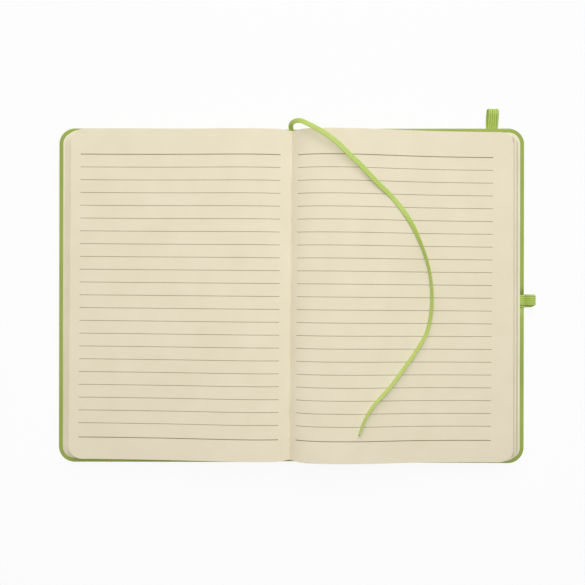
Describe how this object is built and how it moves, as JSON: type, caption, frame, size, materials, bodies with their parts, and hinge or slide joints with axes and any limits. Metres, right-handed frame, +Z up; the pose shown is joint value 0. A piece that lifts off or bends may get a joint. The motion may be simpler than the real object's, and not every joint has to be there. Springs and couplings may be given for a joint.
{
  "type": "notebook",
  "caption": "Hard-cover ruled notebook lying open, with arched pages, ribbon bookmark, elastic closing band and pen loop.",
  "frame": {"origin": "middle of the spine's outer face, where the notebook rests on the table", "axes": "+X towards the back cover's fore-edge (right in the picture), +Y towards the head of the pages, +Z up out of the pages"},
  "size_m": [0.3012, 0.2244, 0.0211],
  "materials": {
    "board": "grey card, hidden under the cloth",
    "cover_skin": "apple-green coated cloth, fine grain, satin",
    "endpaper": "cream endpaper, matte",
    "pages": "cream writing paper, matte",
    "lining": "open-weave spine cloth",
    "thread": "natural sewing thread",
    "ruling": "brown-grey printed lines",
    "ribbon": "green satin ribbon",
    "elastic": "green ribbed elastic webbing"
  },
  "bodies": {
    "book": {"spine_strip": "board", "spine_skin": "cover_skin", "pages": "pages", "front_flyleaf": "endpaper", "back_flyleaf": "endpaper", "spine_lining": "lining", "sewing_thread": "thread", "ruling_left": "ruling", "ruling_right": "ruling", "ribbon_bookmark": "ribbon"},
    "front_cover": {"front_board": "board", "front_cover_skin": "cover_skin", "front_pastedown": "endpaper"},
    "back_cover": {"back_board": "board", "back_cover_skin": "cover_skin", "back_pastedown": "endpaper", "elastic_band": "elastic", "pen_loop": "elastic"}
  },
  "joints": [
    {"name": "front_cover_joint", "type": "hinge", "parent": "book", "child": "front_cover", "pos_m": [-0.00925, 0, 0], "axis": [0, -1, 0], "range_deg": [0, 90]},
    {"name": "back_cover_joint", "type": "hinge", "parent": "book", "child": "back_cover", "pos_m": [0.00925, 0, 0], "axis": [0, 1, 0], "range_deg": [0, 90]}
  ]
}
